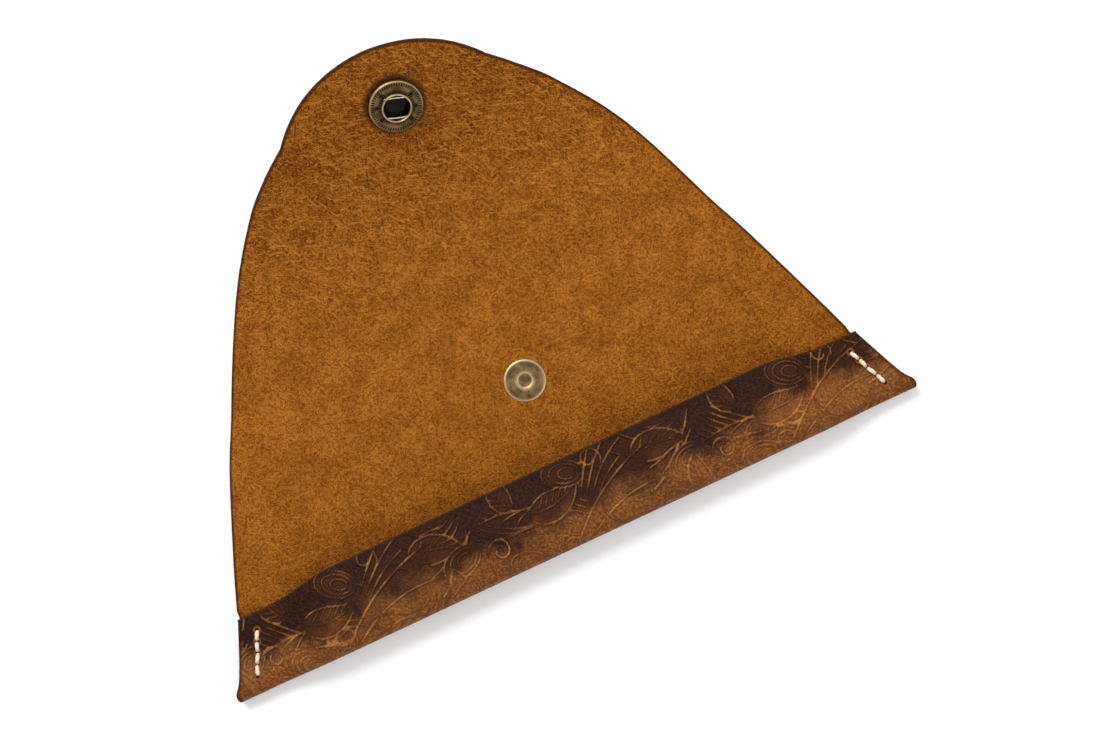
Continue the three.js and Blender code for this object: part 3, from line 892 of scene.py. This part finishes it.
def grain_material():
    """Tooled leather: lines rubbed bright, with painted groove shade on both sides of each."""
    shader = Shader("tooled_leather", 0.5)
    light = light_band(shader)
    fine = shader.noise(1.7, 4.0, 0.65)
    dots = shader.range(shader.cells(1.5), 0.05, 0.5)
    colour = tooled_colour(shader, light)
    pitted = shader.blend(1.0, colour, rgb(204, 194, 184), "MULTIPLY")
    colour = shader.blend(dots, colour, pitted)
    line = shader.value("line")
    # painted shade along both sides of each raised line, in the groove colour below
    painted_groove_shade = shader.times(shader.range(line, 0.04, 0.2), shader.range(line, 0.5, 0.25))
    groove = shader.blend(light, rgb(24, 11, 7), rgb(84, 44, 20))
    colour = shader.blend(shader.times(painted_groove_shade, 0.7), colour, groove)
    worn = shader.times(shader.range(line, 0.45, 0.9), shader.range(fine, 0.34, 0.56, 0.15, 0.9))
    line_colour = shader.blend(light, rgb(158, 104, 50), rgb(180, 118, 58))
    colour = shader.blend(worn, colour, line_colour)
    hole = shader.value("hole")
    colour = shader.blend(shader.range(hole, 0.2, 0.5), colour, rgb(126, 70, 28))
    # painted shade in the middle of each stitch hole
    colour = shader.blend(shader.range(hole, 0.66, 0.85), colour, rgb(22, 9, 4))
    # darkens the stain at the pocket's mouth and ends and at the sheet's edges, and paints the contact
    # shadow round the snap's cap
    edge = shader.range(shader.value("shade"), 0.2, 0.9, 0.0, 0.7)
    colour = shader.blend(edge, colour, rgb(34, 18, 10))
    height = shader.plus(shader.times(dots, -0.7), shader.times(fine, 0.6))
    roughness = shader.range(fine, 0.3, 0.7, 0.42, 0.62)
    return shader.finish(colour, roughness, shader.bump(height, 0.22, 0.9), Specular_IOR_Level=0.09)


def edge_material():
    shader = Shader("burnished_edge", 0.62)
    grain = shader.noise(2.6, 4.0, 0.7)
    colour = shader.blend(shader.range(grain, 0.3, 0.7), rgb(34, 16, 5), rgb(80, 44, 17))
    return shader.finish(colour, normal=shader.bump(grain, 0.2, 0.6), Specular_IOR_Level=0.06)


SUEDE = suede_material()
GRAIN = grain_material()
EDGE = edge_material()


def brass_material():
    """Antique brass: bright where `rub` is 1; dark with patina in the stamped ticks and stars, and with
    painted shade in the socket's bore, at its foot and on the cap's post.
    """
    shader = Shader("antique_brass", 0.45, 0.75)
    smoke = shader.noise(0.35, 4.0, 0.6)
    speck = shader.noise(1.9, 3.0, 0.6)
    colour = shader.blend(shader.range(smoke, 0.35, 0.68), rgb(76, 58, 32), rgb(134, 108, 68))
    rubbed = shader.times(shader.value("rub"), shader.range(speck, 0.28, 0.6, 0.4, 0.85))
    colour = shader.blend(rubbed, colour, rgb(206, 178, 134))
    # dark patina in ticks and stars, and painted shade in the bore, at the socket's foot and on the cap's
    # post
    colour = shader.blend(shader.value("patina_and_shade"), colour, rgb(14, 10, 8))
    roughness = shader.range(speck, 0.3, 0.7, 0.38, 0.52)
    return shader.finish(colour, roughness, shader.bump(speck, 0.05, 0.5))


def wire_material():
    shader = Shader("spring_wire", 0.22, 1.0)
    draw = shader.noise(2.0, 2.0, stretch=(0.4, 6.0))
    colour = shader.blend(draw, rgb(196, 188, 172), rgb(232, 226, 214))
    return shader.finish(colour, normal=shader.bump(draw, 0.02, 0.4))


def thread_material():
    shader = Shader("stitching_thread", 0.7)
    fibre = shader.noise(2.2, 3.0, 0.6, stretch=(0.6, 5.0), turn=0.5)
    soil = shader.noise(0.6, 2.0)
    colour = shader.blend(shader.range(fibre, 0.3, 0.7), rgb(196, 176, 146), rgb(238, 226, 204))
    colour = shader.blend(shader.range(soil, 0.5, 0.75, 0.0, 0.5), colour, rgb(160, 132, 96))
    return shader.finish(colour, normal=shader.bump(fibre, 0.08, 0.7), Sheen_Weight=0.2)


BRASS = brass_material()
WIRE = wire_material()
THREAD = thread_material()


# ==== Snap fastener =========================================================
def snap_frame(s):
    """Turns (across, along the sheet, up from the suede) at the snap's axis into the row frame."""
    place, tangent = on_line(np.array(s))
    origin = np.array([SNAP_X, *place])
    axes = np.array([[1, 0, 0], [0, *tangent], [0, -tangent[1], tangent[0]]])
    return lambda points: origin + np.asarray(points) @ axes


def near_places(radius, level, places, power):
    """1 at each (radius, height, reach), falling to 0 beyond the reach."""
    near = np.zeros((len(radius), 1))
    for at_radius, at_level, reach in places:
        gap = np.hypot(radius - at_radius, level - at_level)
        near = np.maximum(near, np.exp(-(gap / reach) ** power)[:, None])
    return near


def turned(name, profile, to_row, segments=120, ticks=(), rub=(), patina_and_shade=()):
    """A turned part, closed by its ends or by meeting itself.

    `ticks` are rings of fine radial grooves as (inner radius, outer radius, count, depth), darkened with
    patina;
    `rub` lists (radius, height, reach) of places worn bright; the next argument lists the same for places
    painted dark, as shade in hollows and where parts meet."""
    radius, level = np.array(profile, float).T
    turn = round_turn(segments)
    rings = len(radius)
    points = np.concatenate([radius[:, None, None] * toward(turn),
                             np.tile(level[:, None, None], (1, segments, 1))], -1)
    bright = near_places(radius, level, rub, 2) * np.ones(segments)
    # painted shade at the listed places; the ticks below add dark patina in their grooves
    dark = near_places(radius, level, patina_and_shade, 4) * np.ones(segments)
    for inner, outer, count, depth in ticks:
        band = (radius > inner) & (radius < outer) & (level > 0.5)
        groove = smoothstep(1.4 * np.cos(count * turn))
        points[band, :, 2] -= depth * groove
        dark[band] = np.maximum(dark[band], groove)
    points, bright, dark = points.reshape(-1, 3), bright.ravel(), dark.ravel()
    if np.allclose(profile[0], profile[-1]):
        points, bright, dark = (values[:-segments] for values in (points, bright, dark))
        faces = [ring_cells(rings, segments) % len(points)]
    else:
        faces = [ring_cells(rings, segments)] + end_fans(rings, segments)
        points = np.vstack([points, [[0, 0, level[0]], [0, 0, level[-1]]]])
        bright, dark = (np.append(values, values[[0, -1]]) for values in (bright, dark))
    uv = np.stack([points[:, 0], points[:, 1] + 3 * points[:, 2]], 1) / UV_SIZE
    return new_mesh(name, to_row(points), faces, [BRASS], uv=uv, values={"rub": bright, "patina_and_shade": dark})


def filled_profile(points, per_span):
    """The (radius, height) profile with more points in each span, so that grooves have room."""
    points = np.array(points, float)
    share = np.arange(1, per_span + 1)[:, None] / per_span
    return np.vstack([points[:1]] + [mix(a, b, share) for a, b in zip(points, points[1:])])


def snap_socket():
    to_row = snap_frame(SNAP_S)
    profile = filled_profile([
        (1.9, 0.15), (6.4, 0.15), (6.85, 0.35), (7.0, 0.75), (6.95, 1.45), (6.8, 1.85),
        (6.5, 2.08), (6.3, 2.12), (5.75, 2.12), (5.6, 2.1), (4.5, 2.12), (4.35, 2.12),
        (4.0, 2.14), (3.95, 2.35), (3.92, 2.95), (3.78, 3.2), (3.55, 3.26), (3.4, 3.1),
        (3.38, 0.45), (1.9, 0.45), (1.9, 0.15)], 4)
    piece = turned("socket_body", profile, to_row, 360,
                   ticks=[(5.6, 6.46, 60, 0.2), (3.97, 4.45, 36, 0.12)],
                   rub=[(6.75, 1.95, 0.2), (3.6, 3.22, 0.32)],
                   # painted shade down the bore, on its floor, and at the socket's foot on the leather
                   patina_and_shade=[(3.38, 1.2, 1.6), (2.4, 0.45, 1.6), (7.0, 0.5, 0.9)])
    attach(piece, "flap")
    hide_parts("snap_socket")
    for side, side_name in ((0, "right"), (math.pi, "left")):
        for index in (-1, 0, 1):
            angle = side + STAR_ROW_TURN + index * STAR_STEP
            socket_star(to_row, angle, f"socket_star_{side_name}_{index + 2}")


def socket_star(to_row, angle, name):
    """A small dark mark with thin rays, stamped in the socket's face."""
    low, high, peak = 1.7, 2.2, 2.24
    count = 2 * STAR_RAYS
    turn = round_turn(count) + angle
    radius = np.where(np.arange(count) % 2 == 0, STAR_RAY, STAR_WAIST)[:, None]
    centre = STAR_CIRCLE * toward(angle)
    flat = radius * toward(turn) + centre
    points = np.vstack([np.column_stack([flat, np.full(count, low)]),
                        np.column_stack([mix(flat, centre, 0.08), np.full(count, high)]),
                        [[*centre, low], [*centre, peak]]])
    faces = [ring_cells(2, count)] + end_fans(2, count)
    star = new_mesh(name, to_row(points), faces, [BRASS], uv=points[:, :2] / UV_SIZE,
                    values={"rub": np.zeros(len(points)), "patina_and_shade": np.ones(len(points))})
    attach(star, "flap")


def snap_cap():
    to_row = snap_frame(SNAP_S)
    top = -LEATHER - 0.15
    turn = np.linspace(0, math.pi / 2, 22)
    dome = [(7.2 * math.sin(a), top - 0.5 - 1.9 * math.cos(a)) for a in turn]
    profile = dome[1:] + [(7.25, top - 0.25), (7.1, top), (1.7, top), (1.7, 0.6), (2.8, 0.6),
                          (2.85, 0.85), (2.6, 1.05), (2.0, 1.1), (0.4, 0.8)]
    piece = turned("cap_and_post", profile, to_row, rub=[(7.25, top - 0.3, 0.5)],
                   # painted shade on the post, deep under the socket's bore
                   patina_and_shade=[(1.2, 0.8, 2.4)])
    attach(piece, "flap")
    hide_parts("snap_cap")


def wires():
    """Two spring wires across the socket's bore, with their ends in the collar."""
    to_row = snap_frame(SNAP_S)
    count = 24
    t = np.linspace(-1, 1, count)
    run, across = toward(WIRE_TURN), toward(WIRE_TURN + math.pi / 2)
    for side, name in ((-1, "front"), (1, "rear")):
        away = side * (WIRE_OFFSET + WIRE_BOW * (1 - t ** 2))
        flat = WIRE_HALF_LENGTH * t[:, None] * run + away[:, None] * across
        path = np.column_stack([flat, np.full(count, WIRE_HEIGHT)])
        piece = tube(f"wire_{name}", path, WIRE_RADIUS, WIRE, to_row)
        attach(piece, "flap")
        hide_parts(f"snap_spring_{name}")


def tube(name, path, radius, material, to_row=lambda points: points, plies=1, twist=0.0):
    """A closed tube along a path, of one round strand or of twisted plies."""
    around = 12 if plies == 1 else 18
    run = unit(np.gradient(path, axis=0))
    side = unit(np.cross(run, [0.13, 0.2, 0.97]))
    up = np.cross(side, run)
    length = running_total(np.linalg.norm(np.diff(path, axis=0), axis=1))
    turn = round_turn(around)
    lobes = 1.0
    if plies > 1:
        lobes = 0.8 + 0.2 * np.abs(np.cos(turn * plies / 2 + twist * length[:, None]))
    from_end = np.minimum(length, length[-1] - length)[:, None]
    reach = radius * lobes * np.minimum(1, 0.45 + 1.5 * from_end / radius) * np.ones(around)
    ring = path[:, None, :] + reach[..., None] * (
        np.cos(turn)[:, None] * side[:, None, :] + np.sin(turn)[:, None] * up[:, None, :])
    rings = len(path)
    points = np.vstack([ring.reshape(-1, 3), path[:1], path[-1:]])
    uv = np.stack([np.repeat(length, around), np.tile(np.arange(around) * 0.2, rings)], 1)
    uv = np.vstack([uv, [[0, 0], [0, 0]]]) / UV_SIZE
    faces = [ring_cells(rings, around)] + end_fans(rings, around)
    return new_mesh(name, to_row(points), faces, [material], uv=uv)


def snap_stud():
    to_row = snap_frame(stud_place())
    low = -LEATHER
    profile = filled_profile([
        (0.4, low - 2.6), (1.0, low - 2.6), (1.45, low - 2.42), (1.85, low - 2.05),
        (1.75, low - 1.65), (1.75, low - 1.2), (2.3, low - 0.85), (3.2, low - 0.72),
        (5.6, low - 0.7), (6.1, low - 0.55), (6.2, low - 0.35), (6.2, low - 0.12),
        (1.3, low - 0.12)], 3)
    piece = turned("stud_body", profile, to_row,
                   rub=[(1.7, low - 2.2, 0.6), (6.15, low - 0.5, 0.3)])
    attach(piece, "stud_panel")
    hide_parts("snap_stud")
    head = filled_profile([(1.2, low - 0.2), (1.2, -0.2), (5.2, -0.2), (5.4, -0.05), (5.35, 0.12),
                          (5.0, 0.26), (4.2, 0.3), (2.0, 0.32), (1.6, 0.2), (0.3, 0.18)], 3)
    piece = turned("stud_post_head", head, to_row, rub=[(5.2, 0.2, 0.35), (1.9, 0.3, 0.2)])
    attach(piece, "stud_panel")
    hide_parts("snap_stud_post")


def stud_place():
    """The stud's distance along the sheet, from its place in the frame."""
    low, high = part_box("snap_stud_post")
    middle_y = (low.y + high.y) / 2 / MM
    return float(np.interp(middle_y, LINE[:, 0], LINE_S))


# ==== Stitches ==============================================================
def front_height(distance):
    """Outer surface of the front wall at the stitched ends."""
    loop_start = END_LOOP_DEPTH + LEATHER / 2
    on_front = np.clip((distance - loop_start) / (MOUTH_END - loop_start), 0, 1)
    return pocket_line(mix(LOOP_TO, 1, on_front), 1.0)[1] + LEATHER / 2


def stitches(side, name):
    """Two threads through the same holes, as in saddle stitching: each passes over one
    gap and under the next, so that together they fill both faces."""
    holes = stitch_holes(side)
    top = front_height(holes[:, 1])
    t = np.linspace(0, 1, 17)
    in_hole = 0.17                # share of a stitch in the hole at each end
    slant = 0.22
    dip, back_dip = 1.4, 0.9      # a stitch's ends lie this deep under the front and the back
    bulge = 0.05                  # the thread's middle stands this far out of the back
    arch = np.sin(math.pi * t) ** 0.5
    for strand in (0, 1):
        path = []
        for index in range(STITCH_COUNT):
            share = mix(in_hole, 1 - in_hole, t)
            x = mix(holes[index, 0], holes[index + 1, 0], share)
            d = mix(holes[index, 1], holes[index + 1, 1], share)
            x += side * slant * math.cos(math.pi * index) * (t - 0.5)
            if (index + strand) % 2 == 0:
                h = mix(top[index], top[index + 1], share) - dip * (1 - arch)
            else:
                h = -LEATHER + back_dip - (back_dip + bulge) * arch
            path.append(np.stack([x, d, h], 1))
        path = np.vstack(path)
        row = pocket_to_row(path[:, 0], path[:, 1], path[:, 2])
        piece = tube(f"{name}_thread_{strand + 1}", row, THREAD_RADIUS, THREAD, plies=2, twist=THREAD_TWIST)
        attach(piece, "pocket")
        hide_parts(name)


# ==== The leather's pieces ==================================================
def cut_lines():
    """Where the sheet is cut: in the middle of each strip and panel between two hinges."""
    cuts = (HINGE_S[:-1] + HINGE_S[1:]) / 2
    return np.concatenate([[POCKET_CUT], cuts, [TIP_S + BEYOND_TIP]])


def leather():
    cuts = cut_lines()
    cad_node = {body: ("base_panel" if body == "base" else body) for body in BODY_ORDER}
    for index, hinge_s in enumerate(HINGE_S):
        near, far = BODY_ORDER[index], BODY_ORDER[index + 1]
        piece = sheet_piece(f"sheet_at_{HINGE_ORDER[index]}", cuts[index], cuts[index + 1])
        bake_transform(piece)
        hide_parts(cad_node[near], cad_node[far])
    piece = pocket_piece()
    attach(piece, "pocket")
    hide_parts("pocket")


# ==== Table, light and camera ===============================================
def table_top():
    mesh = bpy.data.meshes.new("table_top")
    corners = [(-1, -1, 0), (1, -1, 0), (1, 1, 0), (-1, 1, 0)]
    mesh.from_pydata(np.array(corners) * TABLE_HALF_SIZE, [], [(0, 1, 2, 3)])
    shader = Shader("table", 0.9)
    mesh.materials.append(shader.finish(rgb(252, 252, 252), Specular_IOR_Level=0.0))
    top = new_object("table_top", mesh)
    top.location.z = TABLE_LEVEL


def image_axes():
    """The directions right and up in the picture, on the table."""
    return Vector((*toward(-CAMERA_TURN), 0)), Vector((*toward(math.pi / 2 - CAMERA_TURN), 0))


def camera():
    """Looks straight down."""
    right, up = image_axes()
    data = bpy.data.cameras.new("camera")
    data.sensor_width = CAMERA_SENSOR
    data.lens = CAMERA_SENSOR * CAMERA_HEIGHT / FRAME_WIDTH
    obj = new_object("camera", data)
    centre = right * CAMERA_SHIFT[0] * MM + up * CAMERA_SHIFT[1] * MM
    turn = Matrix((right, up, Vector((0, 0, 1)))).transposed().to_4x4()
    obj.matrix_world = Matrix.Translation(centre + Vector((0, 0, CAMERA_HEIGHT))) @ turn
    bpy.context.scene.camera = obj


def area_light(name, place, size, power):
    """A round light that faces the middle of the case."""
    data = bpy.data.lights.new(name, "AREA")
    data.shape = "DISK"
    data.size = size
    data.energy = power
    light = new_object(name, data)
    light.location = place
    light.rotation_euler = (-place).to_track_quat("-Z", "Y").to_euler()


def lighting():
    """An even white world, a key light from the upper left and a weaker one from the right."""
    world = bpy.data.worlds.new("studio")
    world.use_nodes = True
    background = world.node_tree.nodes["Background"]
    background.inputs[0].default_value = (1, 1, 1, 1)
    background.inputs[1].default_value = WORLD_LIGHT
    bpy.context.scene.world = world
    right, up = image_axes()
    for name, ((to_right, to_up, above), size, power) in (("key", KEY_LIGHT), ("fill", FILL_LIGHT)):
        area_light(name, to_right * right + to_up * up + Vector((0, 0, above)), size, power)
    bpy.context.scene.view_settings.view_transform = "Standard"


camera()
lighting()
table_top()
leather()
snap_socket()
snap_cap()
wires()
snap_stud()
stitches(-1, "stitches_left")
stitches(1, "stitches_right")
